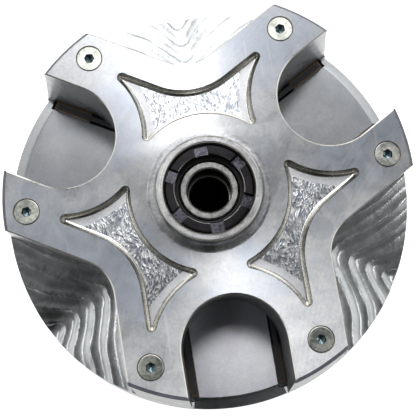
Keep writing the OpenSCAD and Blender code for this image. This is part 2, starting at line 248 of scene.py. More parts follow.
class Shell:
    """Points in millimetres and the faces between them."""

    def __init__(self):
        self.points, self.faces, self.slots = [], [], []

    def ring(self, points):
        """Adds points and gives their numbers."""
        first = len(self.points)
        self.points += [tuple(p) for p in points]
        return list(range(first, len(self.points)))

    def band(self, low, high, slot=0, closed=True):
        """Four-sided faces between two rings."""
        count = len(low)
        for i in range(count if closed else count - 1):
            j = (i + 1) % count
            self.faces.append((low[i], low[j], high[j], high[i]))
            self.slots.append(slot)

    def face(self, ring, slot=0):
        """Fills a ring with one flat face."""
        self.faces.append(tuple(ring))
        self.slots.append(slot)

    def cap(self, ring, slot=0):
        """Fills a ring of any outline with triangles."""
        edges = [(i, (i + 1) % len(ring)) for i in range(len(ring))]
        corners = [Vector(self.points[i][:2]) for i in ring]
        found = delaunay_2d_cdt(corners, edges, [], 1, 1e-6)
        for triangle in found[2]:
            self.face([ring[found[3][v][0]] for v in triangle], slot)


def loft(levels, caps=(0, 0)):
    """A closed solid through levels of (points, slot of the band that leaves the level)."""
    shell = Shell()
    rings = [shell.ring(points) for points, _ in levels]
    for i in range(len(rings) - 1):
        shell.band(rings[i], rings[i + 1], levels[i][1])
    shell.cap(rings[0], caps[0])
    shell.cap(rings[-1], caps[1])
    return shell


def revolve(profile, steps=144, centre=(0, 0)):
    """A closed surface of revolution; each profile point is (radius, height) or (radius, height, slot)."""
    shell = Shell()
    rings = [shell.ring(flat(arc(centre, p[0], 0, 360, steps)[:-1], p[1])) for p in profile]
    for i, p in enumerate(profile):
        shell.band(rings[i], rings[(i + 1) % len(rings)], p[2] if len(p) > 2 else 0)
    return shell


def prism(points, low, high, slot, caps=None):
    """An outline drawn from one height to another."""
    return loft([(flat(points, low), slot), (flat(points, high), slot)], caps or (slot, slot))


def block(x0, y0, z0, x1, y1, z1, degrees, slot, caps=None):
    """A box, turned about the axis."""
    corners = turned([(x0, y0), (x1, y0), (x1, y1), (x0, y1)], degrees)
    return prism(corners, z0, z1, slot, caps)


def fillet(centre, r, start, end, steps, slot):
    """Profile points round an arc."""
    return [(p[0], p[1], slot) for p in arc(centre, r, start, end, steps)]


def add_object(name, data):
    """An object in the scene."""
    obj = bpy.data.objects.new(name, data)
    bpy.context.scene.collection.objects.link(obj)
    return obj


def solid(name, shells, materials=()):
    """A Blender object, still in millimetres, from one shell or several."""
    mesh = bpy.data.meshes.new(name)
    points, faces, slots = [], [], []
    for shell in shells if isinstance(shells, (list, tuple)) else [shells]:
        faces += [tuple(i + len(points) for i in f) for f in shell.faces]
        points += shell.points
        slots += shell.slots
    mesh.from_pydata(points, [], faces)
    for m in materials:
        mesh.materials.append(m)
    mesh.polygons.foreach_set("material_index", slots)
    clean(mesh)
    return add_object(name, mesh)


def clean(mesh):
    """Joins doubled points, drops faces without area and turns the rest outwards."""
    bm = bmesh.new()
    bm.from_mesh(mesh)
    bmesh.ops.remove_doubles(bm, verts=bm.verts, dist=0.002)
    bmesh.ops.dissolve_degenerate(bm, edges=bm.edges, dist=0.001)
    bmesh.ops.recalc_face_normals(bm, faces=bm.faces)
    bm.to_mesh(mesh)
    bm.free()


def carve(target, shells, operation="DIFFERENCE"):
    """Cuts the shells out of a solid, or joins them to it."""
    cutter = solid("cutter", shells, list(target.data.materials))
    modifier = target.modifiers.new("carve", "BOOLEAN")
    modifier.operation = operation
    modifier.solver = "EXACT"
    modifier.object = cutter
    graph = bpy.context.evaluated_depsgraph_get()
    mesh = bpy.data.meshes.new_from_object(target.evaluated_get(graph))
    target.modifiers.clear()
    target.data = mesh
    bpy.data.objects.remove(cutter)


def finish_piece(obj, body, nodes, smooth=32, bevel=0.0):
    """Scales a solid to metres, shades it and ties it to the frame; smooth is the sharpest rounded angle."""
    mesh = obj.data
    mesh.transform(Matrix.Scale(MM, 4))
    mesh.shade_smooth()
    mesh.set_sharp_from_angle(angle=math.radians(smooth))
    if bevel:
        add_bevel(obj, bevel)
    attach(obj, body)
    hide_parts(*nodes)
    return obj


def add_bevel(obj, width):
    """A small round on every sharp edge."""
    modifier = obj.modifiers.new("edge_round", "BEVEL")
    modifier.width = width * MM
    modifier.segments = 2
    modifier.limit_method = "ANGLE"
    modifier.angle_limit = math.radians(38)
    modifier.harden_normals = True
    modifier.use_clamp_overlap = True
    modifier.miter_outer = "MITER_ARC"


# ---- Materials ----

class Tree:
    """A short way to write a node tree."""

    def __init__(self, tree):
        self.tree = tree

    def add(self, kind, inputs=(), **settings):
        """A new node with its inputs and settings."""
        node = self.tree.nodes.new(kind)
        for key, value in settings.items():
            setattr(node, key, value)
        for key, value in dict(inputs).items():
            self.set(node.inputs[key], value)
        return node

    def set(self, socket, value):
        """Links a socket or gives it a value."""
        if isinstance(value, bpy.types.NodeSocket):
            self.tree.links.new(value, socket)
        else:
            socket.default_value = value

    def math(self, operation, a, b=0.0):
        """A Math node's result."""
        return self.add("ShaderNodeMath", {0: a, 1: b}, operation=operation).outputs[0]

    def vector(self, operation, a, b):
        """A Vector Math node's result."""
        node = self.add("ShaderNodeVectorMath", {0: a, 1: b}, operation=operation)
        return node.outputs["Value" if operation in ("DISTANCE", "DOT_PRODUCT") else "Vector"]

    def ramp(self, value, low, high, to_low=0.0, to_high=1.0):
        """The value, taken from one range to another and held at its ends."""
        node = self.add("ShaderNodeMapRange", {
            "Value": value, "From Min": low, "From Max": high, "To Min": to_low, "To Max": to_high})
        return node.outputs["Result"]


class Nodes(Tree):
    """The node tree of a new material."""

    def __init__(self, name):
        self.material = bpy.data.materials.new(name)
        self.material.use_nodes = True
        super().__init__(self.material.node_tree)
        self.shader = self.tree.nodes["Principled BSDF"]
        self.place = self.add("ShaderNodeTexCoord").outputs["Object"]

    def noise(self, scale, detail=2.0, rough=0.5, place=None, distortion=0.0):
        """Noise from 0 to 1, scale in cycles a metre."""
        node = self.add("ShaderNodeTexNoise", {
            "Vector": self.place if place is None else place, "Scale": scale,
            "Detail": detail, "Roughness": rough, "Distortion": distortion})
        return node.outputs["Fac"]

    def mix(self, factor, a, b):
        """A blend of two colours."""
        node = self.add("ShaderNodeMix", {"Factor": factor}, data_type="RGBA")
        self.set(node.inputs["A"], a)
        self.set(node.inputs["B"], b)
        return node.outputs["Result"]

    def squeezed(self, factors):
        """The place with its axes scaled, for grain that runs one way."""
        return self.vector("MULTIPLY", self.place, factors)

    def radius(self, centre=(0, 0)):
        """Distance from a line along Z through centre, in metres."""
        level = self.vector("MULTIPLY", self.place, (1, 1, 0))
        return self.vector("DISTANCE", level, (centre[0] * MM, centre[1] * MM, 0))

    def rings(self, centre, scale):
        """Noise that depends only on the distance from centre: turned or fly-cut lines."""
        along = self.add("ShaderNodeCombineXYZ", {"X": self.radius(centre)}).outputs[0]
        return self.noise(scale, 2, 0.6, along)

    def bump(self, height, strength, distance, normal=None):
        """A bump of that distance in millimetres."""
        inputs = {"Height": height, "Strength": strength, "Distance": distance * MM}
        if normal is not None:
            inputs["Normal"] = normal
        return self.add("ShaderNodeBump", inputs).outputs["Normal"]

    def done(self, color, roughness, normal, metallic=1.0, **more):
        """Sets the shader's inputs and gives the material."""
        inputs = {"Base Color": color, "Roughness": roughness, "Metallic": metallic, "Normal": normal}
        for key, value in {**inputs, **more}.items():
            self.set(self.shader.inputs[key], value)
        return self.material


def rgb(r, g, b):
    """An opaque colour."""
    return (r, g, b, 1.0)


def machined(name, light, dark, rough, marks="fly", mottle=0.5, relief=0.004, grooves=0.0, stain=None, discs=()):
    """Machined metal: cloudy tint, fine tool lines, tiny dents, scuffs and uneven gloss.

    Grooves from 0 to 1 stretch the gloss across turned lines, as a lathe-turned face does."""
    n = Nodes(name)
    clouds = n.noise(30, 4, 0.6)
    blots = n.noise(115, 4, 0.65, distortion=0.8)
    specks = n.noise(760, 2, 0.6)
    if marks == "turned":
        lines = n.rings((0, 0), 1500)
    elif marks == "fly":
        lines = n.rings((240, -150), 900)
    elif marks == "ground":
        lines = n.noise(900, 2, 0.6, n.squeezed((1, 1, 0.05)))
    else:
        lines = n.noise(1600, 3, 0.7)
    tone = n.math("ADD", n.math("MULTIPLY", clouds, 0.30), n.math("MULTIPLY", blots, 0.35))
    tone = n.math("ADD", tone, n.math("MULTIPLY", specks, 0.20))
    tone = n.math("ADD", tone, n.math("MULTIPLY", lines, 0.15))
    color = n.mix(n.ramp(tone, 0.5 - 0.20 / (mottle + 0.3), 0.5 + 0.20 / (mottle + 0.3)), dark, light)
    roughness = n.math("ADD", n.ramp(blots, 0.3, 0.7, rough - 0.05, rough + 0.06),
                       n.ramp(lines, 0.3, 0.7, -0.03, 0.03))
    if stain:
        patch = n.ramp(n.noise(19, 3, 0.6, n.vector("ADD", n.place, (3, 1, 0))), 0.46, 0.62, 0.0, 0.55)
        color = n.mix(patch, color, stain)
        nicks = n.ramp(n.noise(420, 1, 0.5, n.squeezed((1, 0.06, 1))), 0.70, 0.78, 0.0, 0.3)
        color = n.mix(nicks, color, rgb(0.95, 0.95, 0.95))
    for x, y, r in discs:
        inside = n.ramp(n.radius((x, y)), (r + 0.2) * MM, (r - 0.2) * MM, 0.0, 0.5)
        color = n.mix(inside, color, rgb(0.46, 0.50, 0.54))
    normal = n.bump(lines, 0.6, relief)
    normal = n.bump(specks, 0.35, relief * 1.5, normal)
    if not grooves:
        return n.done(color, roughness, normal)
    tangent = n.add("ShaderNodeTangent", direction_type="RADIAL", axis="Z").outputs[0]
    return n.done(color, roughness, normal, Anisotropic=grooves, Tangent=tangent, **{"Anisotropic Rotation": 0.25})


def sparkling(name):
    """The rough end-milled floor of a pocket: short curved cuts with bumps, and painted glints in the colour of random
    cells.
    """
    n = Nodes(name)
    offset = n.add("ShaderNodeCombineXYZ", {"X": n.math("MULTIPLY", n.noise(75, 1), 0.012),
                                            "Y": n.math("MULTIPLY", n.noise(60, 1), 0.012)})
    bent = n.vector("MULTIPLY", n.vector("ADD", n.place, offset.outputs[0]), (1.0, 0.40, 1.0))
    cells = n.add("ShaderNodeTexVoronoi", {"Vector": bent, "Scale": 1500.0}, feature="F1")
    chance = n.add("ShaderNodeSeparateColor", {"Color": cells.outputs["Color"]}).outputs[0]
    cuts = n.noise(1900, 2, 0.7, bent)
    # Painted glint: random cells are coloured near white or dark grey to stand in for facets that catch or miss the
    # light.
    painted_glint = n.ramp(n.math("ADD", n.math("MULTIPLY", chance, 0.6), n.math("MULTIPLY", cuts, 0.4)), 0.40, 0.60)
    color = n.mix(painted_glint, rgb(0.32, 0.34, 0.38), rgb(0.98, 0.99, 1.0))
    normal = n.bump(cells.outputs["Distance"], 0.8, 0.075)
    normal = n.bump(cuts, 0.7, 0.04, normal)
    return n.done(n.mix(n.ramp(n.noise(75, 3), 0.42, 0.62, 0.0, 0.30), color, rgb(0.40, 0.43, 0.47)),
                  n.ramp(cuts, 0.2, 0.8, 0.22, 0.34), normal)


def terraced(name):
    """The scalloped floor of a notch, with a painted highlight line along each ridge."""
    n = Nodes(name)
    height = n.add("ShaderNodeSeparateXYZ", {"Vector": n.place}).outputs["Z"]
    below = n.math("DIVIDE", n.math("SUBTRACT", TERRACE_Z * MM, height), TERRACE_DROP * MM)
    since_ridge = n.math("FRACT", below)
    ridge_highlight = n.ramp(since_ridge, 0.15, 0.05)
    blots, fine = n.noise(90, 4, 0.65), n.noise(900, 3, 0.7)
    color = n.mix(n.ramp(blots, 0.3, 0.7), rgb(0.52, 0.54, 0.54), rgb(0.72, 0.74, 0.74))
    # Painted highlight: a near-white line just below each ridge, patchy along its length.
    color = n.mix(n.math("MULTIPLY", ridge_highlight, n.ramp(blots, 0.35, 0.6, 0.1, 0.9)), color, rgb(0.95, 0.95, 0.95))
    chatter = n.noise(520, 2, 0.6, n.squeezed((1, 1, 0.3)), 0.6)
    swell = n.noise(110, 2, 0.6, distortion=1.0)
    patchy = n.ramp(n.noise(60, 2), 0.42, 0.60, 0.1, 0.9)
    normal = n.bump(swell, 0.6, 0.25)
    normal = n.bump(n.math("MULTIPLY", chatter, patchy), 0.7, 0.06, normal)
    normal = n.bump(fine, 0.4, 0.01, normal)
    return n.done(color, n.ramp(blots, 0.3, 0.7, 0.20, 0.28), normal)


def plain(name, color, rough):
    """Moulded or coated surface with a fine grain and uneven gloss."""
    n = Nodes(name)
    cloud, fine = n.noise(60, 3), n.noise(1800, 2)
    darker = tuple(c * 0.72 for c in color[:3]) + (1.0,)
    tint = n.mix(n.ramp(cloud, 0.3, 0.7), darker, color)
    normal = n.bump(fine, 0.5, 0.008)
    return n.done(tint, n.ramp(fine, 0.3, 0.7, rough - 0.06, rough + 0.06), normal, 0.0)


FACE = machined("cover_face", rgb(0.84, 0.84, 0.84), rgb(0.50, 0.52, 0.55), 0.32, "fly", 1.3, grooves=0.97,
                stain=rgb(0.52, 0.58, 0.70), discs=((58.1, -14.9, 5.7), (49.0, -26.0, 5.7)))
# Painted shade: a near-black copy of the aluminium for the arm tips' bevel, in place of the pale floor it would
# reflect.
TIP_SHADED = machined("tip_bevel_painted_shade", rgb(0.20, 0.20, 0.24), rgb(0.09, 0.09, 0.11), 0.24, "turned", 1.4)
# Painted highlight: chamfers and rims get this brighter cream colour so they read as lit edges from any side.
EDGE_HIGHLIGHT = machined("chamfer_painted_highlight", rgb(0.95, 0.92, 0.84), rgb(0.72, 0.69, 0.62), 0.16, "plain", 0.6)
LINE = machined("edge_shadow", rgb(0.16, 0.16, 0.14), rgb(0.08, 0.08, 0.07), 0.35, "plain", 0.5)
FILLET = machined("pocket_wall", rgb(0.72, 0.71, 0.67), rgb(0.46, 0.44, 0.40), 0.24, "ground", 1.0)
MARGIN = machined("pocket_margin", rgb(0.90, 0.90, 0.91), rgb(0.62, 0.63, 0.66), 0.46, "plain", 1.4, 0.05)
SPARKLE = sparkling("pocket_floor")
HUB_FACE = machined("hub_face", rgb(0.62, 0.62, 0.62), rgb(0.28, 0.28, 0.30), 0.34, "turned", 2.6, 0.016)
# Painted shade: walls and outer sides get this darker copy of the aluminium so they look shaded.
SHADED_WALL = machined("tower_wall_painted_shade", rgb(0.40, 0.41, 0.40), rgb(0.24, 0.25, 0.25), 0.30, "plain", 0.9)
# Painted light: a brighter, lavender-tinted copy of the deck material for the deck on the part's -Y side, standing in
# for the key light that falls there.
DECK_LIT = machined("deck_face_painted_light", rgb(0.96, 0.96, 1.0), rgb(0.80, 0.80, 0.88), 0.33, "turned", 2.2, 0.014,
                    grooves=0.95, stain=rgb(0.78, 0.77, 0.86))
DECK = machined("deck_face", rgb(0.70, 0.71, 0.73), rgb(0.50, 0.51, 0.54), 0.36, "turned", 1.5, grooves=0.97,
                stain=rgb(0.52, 0.56, 0.62))
TERRACE = terraced("terrace_face")
# Painted shade: the sheave's outer flare is darkened so it shows dark in place of the floor's reflection.
FLARE_SHADED = machined("flare_face_painted_shade", rgb(0.24, 0.24, 0.24), rgb(0.14, 0.14, 0.14), 0.30, "turned", 0.9)
RIM = machined("rim_face", rgb(0.50, 0.51, 0.52), rgb(0.34, 0.35, 0.36), 0.30, "turned", 0.8)
BELT = machined("belt_face", rgb(0.80, 0.80, 0.81), rgb(0.68, 0.68, 0.70), 0.22, "turned", 0.3, 0.003)
TUBE_FACE = machined("shaft_end_face", rgb(0.46, 0.46, 0.44), rgb(0.16, 0.16, 0.16), 0.34, "turned", 2.6, 0.016)
STEEL = machined("ground_steel_face", rgb(0.66, 0.65, 0.64), rgb(0.50, 0.50, 0.50), 0.26, "turned", 0.5)
BORE = machined("oiled_bore", rgb(0.30, 0.28, 0.25), rgb(0.14, 0.13, 0.12), 0.35, "turned", 0.7)
BLUED = machined("blued_face", rgb(0.036, 0.033, 0.036), rgb(0.012, 0.012, 0.013), 0.34, "turned", 1.6)
BLUED_CUT = machined("blued_cut", rgb(0.15, 0.145, 0.175), rgb(0.02, 0.02, 0.025), 0.28, "ground", 2.6)
# Painted highlight: a lighter metal colour on the nut's inner top chamfer so it reads as a lit line.
NUT_EDGE_HIGHLIGHT = machined("nut_edge_painted_highlight", rgb(0.55, 0.54, 0.50), rgb(0.30, 0.29, 0.27), 0.30, "plain", 1.6)
ZINC = machined("zinc_face", rgb(0.84, 0.84, 0.76), rgb(0.36, 0.38, 0.35), 0.34, "plain", 3.2, 0.03)
SOCKET = machined("zinc_socket", rgb(0.22, 0.30, 0.32), rgb(0.10, 0.15, 0.17), 0.22, "plain", 1.0)
DARK_STEEL = machined("oiled_steel", rgb(0.26, 0.26, 0.27), rgb(0.16, 0.16, 0.17), 0.33, "turned", 0.7)
SPIDER = machined("spider_face", rgb(0.15, 0.15, 0.16), rgb(0.08, 0.08, 0.09), 0.38, "plain", 0.6)
YELLOW = machined("flyweight_face", rgb(0.74, 0.58, 0.26), rgb(0.55, 0.42, 0.20), 0.30, "plain", 0.8)
BRONZE = machined("bronze_face", rgb(0.60, 0.40, 0.20), rgb(0.46, 0.30, 0.15), 0.36, "turned", 0.6)
BLACK_STEEL = machined("black_oxide", rgb(0.05, 0.05, 0.055), rgb(0.02, 0.02, 0.02), 0.30, "plain", 0.5)
RUBBER = plain("seal_face", rgb(0.03, 0.03, 0.03), 0.5)
POLYMER = plain("pad_face", rgb(0.16, 0.11, 0.075), 0.42)
ENAMEL = plain("spring_enamel", rgb(0.06, 0.12, 0.30), 0.3)


# ---- Pieces ----

def cover_plate():
    """The six-armed cover with its pockets, hub and countersunk holes."""
    top, edge, wall, floor, hub_top, bore, side, line_slot, tip, margin = range(10)
    materials = [FACE, EDGE_HIGHLIGHT, FILLET, SPARKLE, HUB_FACE, BORE, SHADED_WALL, LINE, TIP_SHADED, MARGIN]
    drop, width = 2.4, 1.8
    levels = [(0.3, TOWER_Z, 0.3, side), (0, TOWER_Z + 0.3, 0, side), (0, PLATE_TOP - drop, 0, side),
              (0, PLATE_TOP - 0.5, width * (drop - 0.5) / drop, edge), (0.55, PLATE_TOP, width, top)]
    plate = loft([(flat(star_outline(TIP_R - back, inset), z), slot) for inset, z, back, slot in levels], (side, top))
    obj = solid("cover_plate_detail", plate, materials)
    # Painted shade: the tip bevel's faces are given the dark tip material.
    for face in obj.data.polygons:
        at = face.center
        if at.xy.length > TIP_R - width - 0.1 and PLATE_TOP - drop < at.z < PLATE_TOP - 0.05 and face.normal.z > 0.3:
            face.material_index = tip
    hub_foot_r = HUB_R + HUB_FILLET_R
    hub = revolve([(r, z, side) for r, z in (
        (5, HUB_BOTTOM), (HUB_R - 0.6, HUB_BOTTOM), (HUB_R, HUB_BOTTOM + 0.6), (HUB_R, TOWER_Z + 1),
        (hub_foot_r + 0.4, TOWER_Z + 1), (hub_foot_r + 0.4, PLATE_TOP - 0.02))]
                  + fillet((hub_foot_r, PLATE_TOP + HUB_FILLET_R), HUB_FILLET_R, 270, 180, 8, hub_top)
                  + [(HUB_R, HUB_TOP - 0.9, edge), (HUB_R - 0.8, HUB_TOP, hub_top), (BEARING_R + 1.2, HUB_TOP, edge),
                     (BEARING_R + 0.9, HUB_TOP - 0.3, bore), (5, HUB_TOP - 0.3, bore)])
    carve(obj, hub, "UNION")
    carve(obj, revolve([(r, z, bore) for r, z in (
        (0, HUB_BOTTOM - 2), (BEARING_R, HUB_BOTTOM - 2), (BEARING_R, HUB_TOP - 1.2), (BEARING_R + 1.1, HUB_TOP + 0.4),
        (0, HUB_TOP + 0.4))]))
    pocket_foot_r = 2.0
    round_steps = [(0.15 + pocket_foot_r * (1 - math.cos(t)), pocket_foot_r * (1 - math.sin(t)) - POCKET_DEPTH)
                   for t in (math.radians(15 * i) for i in range(7))]
    pockets = []
    for a in NOTCHES:
        levels = [(turned(pocket_outline(-0.55), a), 0.3, line_slot), (turned(pocket_outline(0), a), -0.25, wall)]
        levels += [(turned(pocket_outline(inset), a), z, wall) for inset, z in round_steps[:-1]]
        levels += [(turned(pocket_outline(round_steps[-1][0]), a), -POCKET_DEPTH, margin),
                   (turned(milled_outline(pocket_foot_r + 0.3, 0.22), a), -POCKET_DEPTH, floor)]
        pockets.append(loft([(flat(points, PLATE_TOP + z), slot) for points, z, slot in levels], (top, floor)))
    carve(obj, pockets)
    carve(obj, [revolve([(0, TOWER_Z - 1, bore), (3.2, TOWER_Z - 1, bore), (3.2, PLATE_TOP - 3.2, bore),
                         (CSK_R, PLATE_TOP, edge), (CSK_R + 0.4, PLATE_TOP + 0.4, edge), (0, PLATE_TOP + 0.4, edge)],
                        48, centre) for centre in screw_places()])
    return finish_piece(obj, "sliding_side", ["cover_plate"])


def screw_places():
    """The centres of the six cover screws."""
    return [polar(SCREW_CIRCLE_R, a + side * SCREW_ANGLE) for a in PAIRS for side in (-1, 1)]


def cover_screws():
    """Six countersunk screws with hexagon sockets."""
    head, socket, edge = range(3)
    head_r, socket_r = CSK_R - 0.45, 2 / math.cos(math.radians(30))
    for number, centre in enumerate(screw_places(), 1):
        profile = [(0, -22), (2.0, -22)]
        for k in range(16):
            profile += [(2.45, -20.5 + k), (2.92, -20 + k)]
        profile = [(r, PLATE_TOP + z, head) for r, z in profile + [(2.9, -4.2), (2.95, -3.3)]]
        profile += [(head_r, PLATE_TOP - 0.42, edge), (head_r - 0.02, PLATE_TOP - 0.26, edge),
                    (head_r - 0.28, PLATE_TOP - 0.08, head), (0, PLATE_TOP - 0.08, head)]
        obj = solid(f"cover_screw_{number}", revolve(profile, 48, centre), [ZINC, SOCKET, EDGE_HIGHLIGHT])
        sizes = [(socket_r * 1.16, 0.12), (socket_r, -0.4), (socket_r, -2.8), (0.3, -3.6)]
        carve(obj, loft([(flat([centre + polar(r, 17 * number + 60 * i) for i in range(6)], PLATE_TOP + z), socket)
                         for r, z in sizes], (socket, socket)))
        finish_piece(obj, "sliding_side", ["cover_screws"])


# Material slots of the movable sheave; the wall and flare slots carry painted shade, the lower deck slot painted light
RIM_SLOT, WALL_SLOT, DECK_SLOT, TERRACE_SLOT, BELT_SLOT, FACE_SLOT, DECK_LIT_SLOT, FLARE_SLOT = range(8)


def terrace_depth(d, x, y, seed):
    """How far the notch floor lies below its highest terrace, d in from the walls and y off the middle.

    Each ridge bows away from the wall half way along its leg."""
    leg = max(20, 62 - 1.2 * d)
    along = min(1, (math.hypot(y, 5) - 5) / leg)
    wander = 1.2 * noise.noise((x / 15, y / 15, seed)) + 0.4 * noise.noise((x / 5, y / 5, seed))
    level = d - 24 * along * (1 - along) + wander * min(1, max(0, d - 2) / 4)
    terrace, across = divmod(level - TERRACE_FIRST_W, TERRACE_W)
    return TERRACE_DROP * (min(terrace, LAST_TERRACE) + 1 - (1 - across / TERRACE_W) ** 3.2)


def notch_cutter(degrees):
    """What the mill removed from a notch: straight walls over a terraced, scalloped floor."""
    reach = SHEAVE_R + 14
    insets, d = [], 0.0
    while notch_reach(ARM_HALF + d) < reach - 3:
        insets.append(d)
        d += LAYER_STEP
    shell = Shell()
    floor, roof = [], []
    for d in insets:
        r = max(NOTCH_ROUND - 0.6 * d, 9.0)
        half = arc((notch_reach(ARM_HALF + d + r), 0), r, 180, 150, 10)
        rest = reach - half[-1][0]
        leg = Vector((rest, rest * math.tan(math.radians(60))))
        half = half + [half[-1] + leg * (i / 22) for i in range(1, 23)]
        row = mirrored(half[1:]) + half
        turned_row = turned(row, degrees)
        floor.append(shell.ring([(q[0], q[1], TERRACE_Z - terrace_depth(d, p[0], p[1], degrees))
                                 for p, q in zip(row, turned_row)]))
        roof.append(shell.ring(flat(turned_row, CUT_TOP_Z)))
    for rows in (floor, roof):
        for a, b in zip(rows, rows[1:]):
            shell.band(a, b, TERRACE_SLOT, closed=False)
    shell.band(floor[0], roof[0], WALL_SLOT, closed=False)
    shell.band(floor[-1], roof[-1], TERRACE_SLOT, closed=False)
    for end in (0, -1):
        shell.band([row[end] for row in floor], [row[end] for row in roof], TERRACE_SLOT, closed=False)
    return shell


def cavity_cutter():
    """The space for the flyweights and spring, which leaves a wall behind each U-slot."""
    outline = []
    for a in PAIRS:
        bite_r = U_R + 5
        meet = math.degrees(math.acos((U_CENTRE ** 2 + CAVITY_R ** 2 - bite_r * bite_r) / (2 * U_CENTRE * CAVITY_R)))
        touch = polar(CAVITY_R, meet) - Vector((U_CENTRE, 0))
        bite = arc((U_CENTRE, 0), bite_r, 360 - angle_of(touch), angle_of(touch), 24)
        outline += turned(bite + arc((0, 0), CAVITY_R, meet, 120 - meet, 24)[1:-1], a)
    return prism(outline, CAVITY_Z, CUT_TOP_Z, WALL_SLOT)


def torque_slots():
    """The slots beside each deck, in which the spider's ears slide."""
    slots = []
    for a in PAIRS:
        for side in (-1, 1):
            near, far = sorted((side * SLOT_IN, side * (U_R - 0.01)))
            end = on_circle(SLOT_END_R, side * EAR_HALF)[0]
            slots.append(block(SLOT_START, near, SLOT_FLOOR_Z, end, far, DECK_Z + 3, a, WALL_SLOT))
    return slots


def deck_bevels():
    """What the bevel outside each deck takes away."""
    half = math.degrees(math.asin((U_R - 0.02) / (SHEAVE_R + 3)))
    inner, outer = SHEAVE_R - 6.4, SHEAVE_R + 3
    section = [(inner, DECK_Z + 2), (inner, DECK_Z + 0.02), (inner + 0.9, DECK_Z - 0.18), (inner + 1.8, DECK_Z - 0.75),
               (SHEAVE_R, DECK_Z - 4.3), (outer, DECK_Z - 6.6), (outer, DECK_Z + 2)]
    bevels = []
    for a in PAIRS:
        shell = Shell()
        cuts = [shell.ring([(*polar(r, a - half + 2 * half * i / 24), z) for r, z in section]) for i in range(25)]
        for low, high in zip(cuts, cuts[1:]):
            shell.band(low, high, RIM_SLOT)
        for end in (cuts[0], cuts[-1]):
            shell.face(end, RIM_SLOT)
        bevels.append(shell)
    return bevels


def movable_sheave():
    """The sliding cone and the drum on it: towers, decks, terraced notches and torque slots."""
    materials = [RIM, SHADED_WALL, DECK, TERRACE, BELT, FACE, DECK_LIT, FLARE_SHADED]
    bore, edge = JOURNAL_R + 2.5, 0.6
    body = revolve([(bore, SLIDE_ROOT_Z, BELT_SLOT), (ROOT_R, SLIDE_ROOT_Z, BELT_SLOT),
                    (SHEAVE_R - edge, SLIDE_RIM_Z - 0.1, RIM_SLOT), (SHEAVE_R, SLIDE_RIM_Z + edge, RIM_SLOT),
                    (SHEAVE_R, FLARE_Z, FLARE_SLOT), (TIP_R, TOWER_Z - 0.3, FLARE_SLOT),
                    (TIP_R - 0.3, TOWER_Z, FACE_SLOT), (bore, TOWER_Z, WALL_SLOT)], 240)
    obj = solid("movable_sheave_detail", body, materials)
    carve(obj, [notch_cutter(a) for a in NOTCHES])
    carve(obj, [prism(turned(u_outline(), a), DECK_Z, CUT_TOP_Z, WALL_SLOT) for a in PAIRS])
    paint_level(obj, DECK_Z, DECK_SLOT)
    # Painted light: the deck on the part's -Y side gets the brighter deck copy.
    paint_level(obj, DECK_Z, DECK_LIT_SLOT, lambda at: at.y < -30 and abs(at.x) < 30)
    carve(obj, cavity_cutter())
    carve(obj, torque_slots())
    carve(obj, deck_bevels())
    carve(obj, revolve([(r, z, WALL_SLOT) for r, z in (
        (5, CAVITY_Z - 20), (bore, CAVITY_Z - 20), (bore, BOSS_TOP_Z), (5, BOSS_TOP_Z))]))
    carve(obj, [revolve([(r, z, WALL_SLOT) for r, z in (
        (0, TOWER_Z - 18), (3, TOWER_Z - 18), (3, TOWER_Z + 2), (0, TOWER_Z + 2))], 32, c) for c in screw_places()])
    carve(obj, revolve([(r, z, WALL_SLOT) for r, z in (
        (bore, CAVITY_Z - 1), (BOSS_R, CAVITY_Z - 1), (BOSS_R, BOSS_TOP_Z - 0.5), (BOSS_R - 0.5, BOSS_TOP_Z),
        (bore, BOSS_TOP_Z))]), "UNION")
    lugs, holes = flyweight_lugs()
    carve(obj, lugs, "UNION")
    carve(obj, holes)
    return finish_piece(obj, "sliding_side", ["movable_sheave"], 28)


def paint_level(obj, z, slot, where=lambda at: True):
    """Gives the faces that lie flat at one height a material slot."""
    for face in obj.data.polygons:
        if abs(face.center.z - z) < 0.01 and abs(face.normal.z) > 0.99 and where(face.center):
            face.material_index = slot


def cross_slab(outline, y0, y1, degrees):
    """A slab between two Y values, its outline in X and Z, turned about the axis."""
    shell, rotation = Shell(), Matrix.Rotation(math.radians(degrees), 2)
    rings = [shell.ring([(*(rotation @ Vector((p[0], y))), p[1]) for p in outline]) for y in (y0, y1)]
    shell.band(rings[0], rings[1], WALL_SLOT)
    for ring in rings:
        shell.face(ring, WALL_SLOT)
    return shell


def flyweight_lugs():
    """The lugs on the sliding sheave that carry the flyweight pins, and the holes through them."""
    pivot = (PIVOT_R, PIVOT_Z)
    foot = [Vector((PIVOT_R + side * 5.5, CAVITY_Z - 0.5)) for side in (-1, 1)]
    outline = foot + arc(pivot, 6, 0, 180, 16)
    hole = arc(pivot, 3.02, 0, 360, 32)[:-1]
    lugs = [cross_slab(outline, *sorted((side * 5.2, side * 10)), a) for a in NOTCHES for side in (-1, 1)]
    return lugs, [cross_slab(hole, -12, 12, a) for a in NOTCHES]


